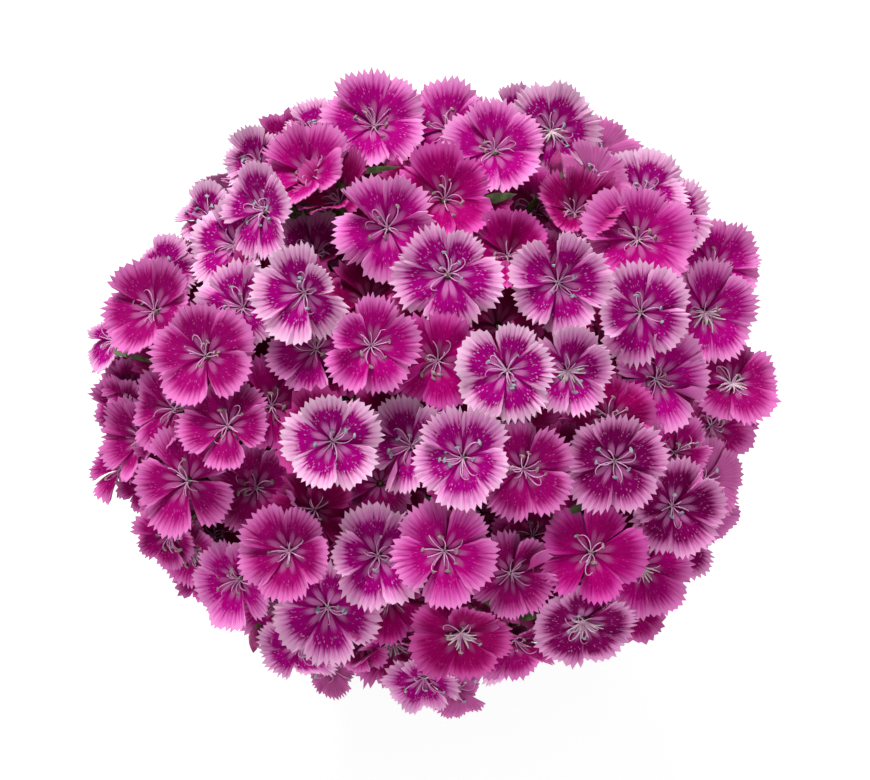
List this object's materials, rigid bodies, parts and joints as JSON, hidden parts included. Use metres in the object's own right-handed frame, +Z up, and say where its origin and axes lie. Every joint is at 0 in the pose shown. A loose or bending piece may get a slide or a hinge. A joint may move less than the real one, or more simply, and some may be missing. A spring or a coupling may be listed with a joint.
{
  "type": "potted dianthus plant",
  "caption": "Potted dianthus in full flower: leafy stems rise from a plain round nursery pot and carry a dense dome of fringed, two-tone pink florets.",
  "frame": {"origin": "middle of the pot's flat underside", "axes": "+Z up along the pot's axis, -Y towards the side the flowers are seen from, +X to that viewer's right"},
  "size_m": [0.2042, 0.1946, 0.2287],
  "materials": {
    "pot": "matte",
    "soil": "matte",
    "leaves": "matte",
    "petals": "matte"
  },
  "bodies": {
    "root": {"pot": "pot", "soil": "soil", "leafy_stem_01": "leaves", "leafy_stem_02": "leaves", "leafy_stem_03": "leaves", "leafy_stem_04": "leaves", "leafy_stem_05": "leaves", "leafy_stem_06": "leaves", "leafy_stem_07": "leaves", "leafy_stem_08": "leaves", "leafy_stem_09": "leaves", "leafy_stem_10": "leaves", "leafy_stem_11": "leaves", "leafy_stem_12": "leaves", "leafy_stem_13": "leaves", "leafy_stem_14": "leaves", "flower_head_01": "petals", "flower_head_02": "petals", "flower_head_03": "petals", "flower_head_04": "petals", "flower_head_05": "petals", "flower_head_06": "petals", "flower_head_07": "petals", "flower_head_08": "petals", "flower_head_09": "petals", "flower_head_10": "petals", "flower_head_11": "petals", "flower_head_12": "petals", "flower_head_13": "petals", "flower_head_14": "petals"}
  },
  "joints": []
}
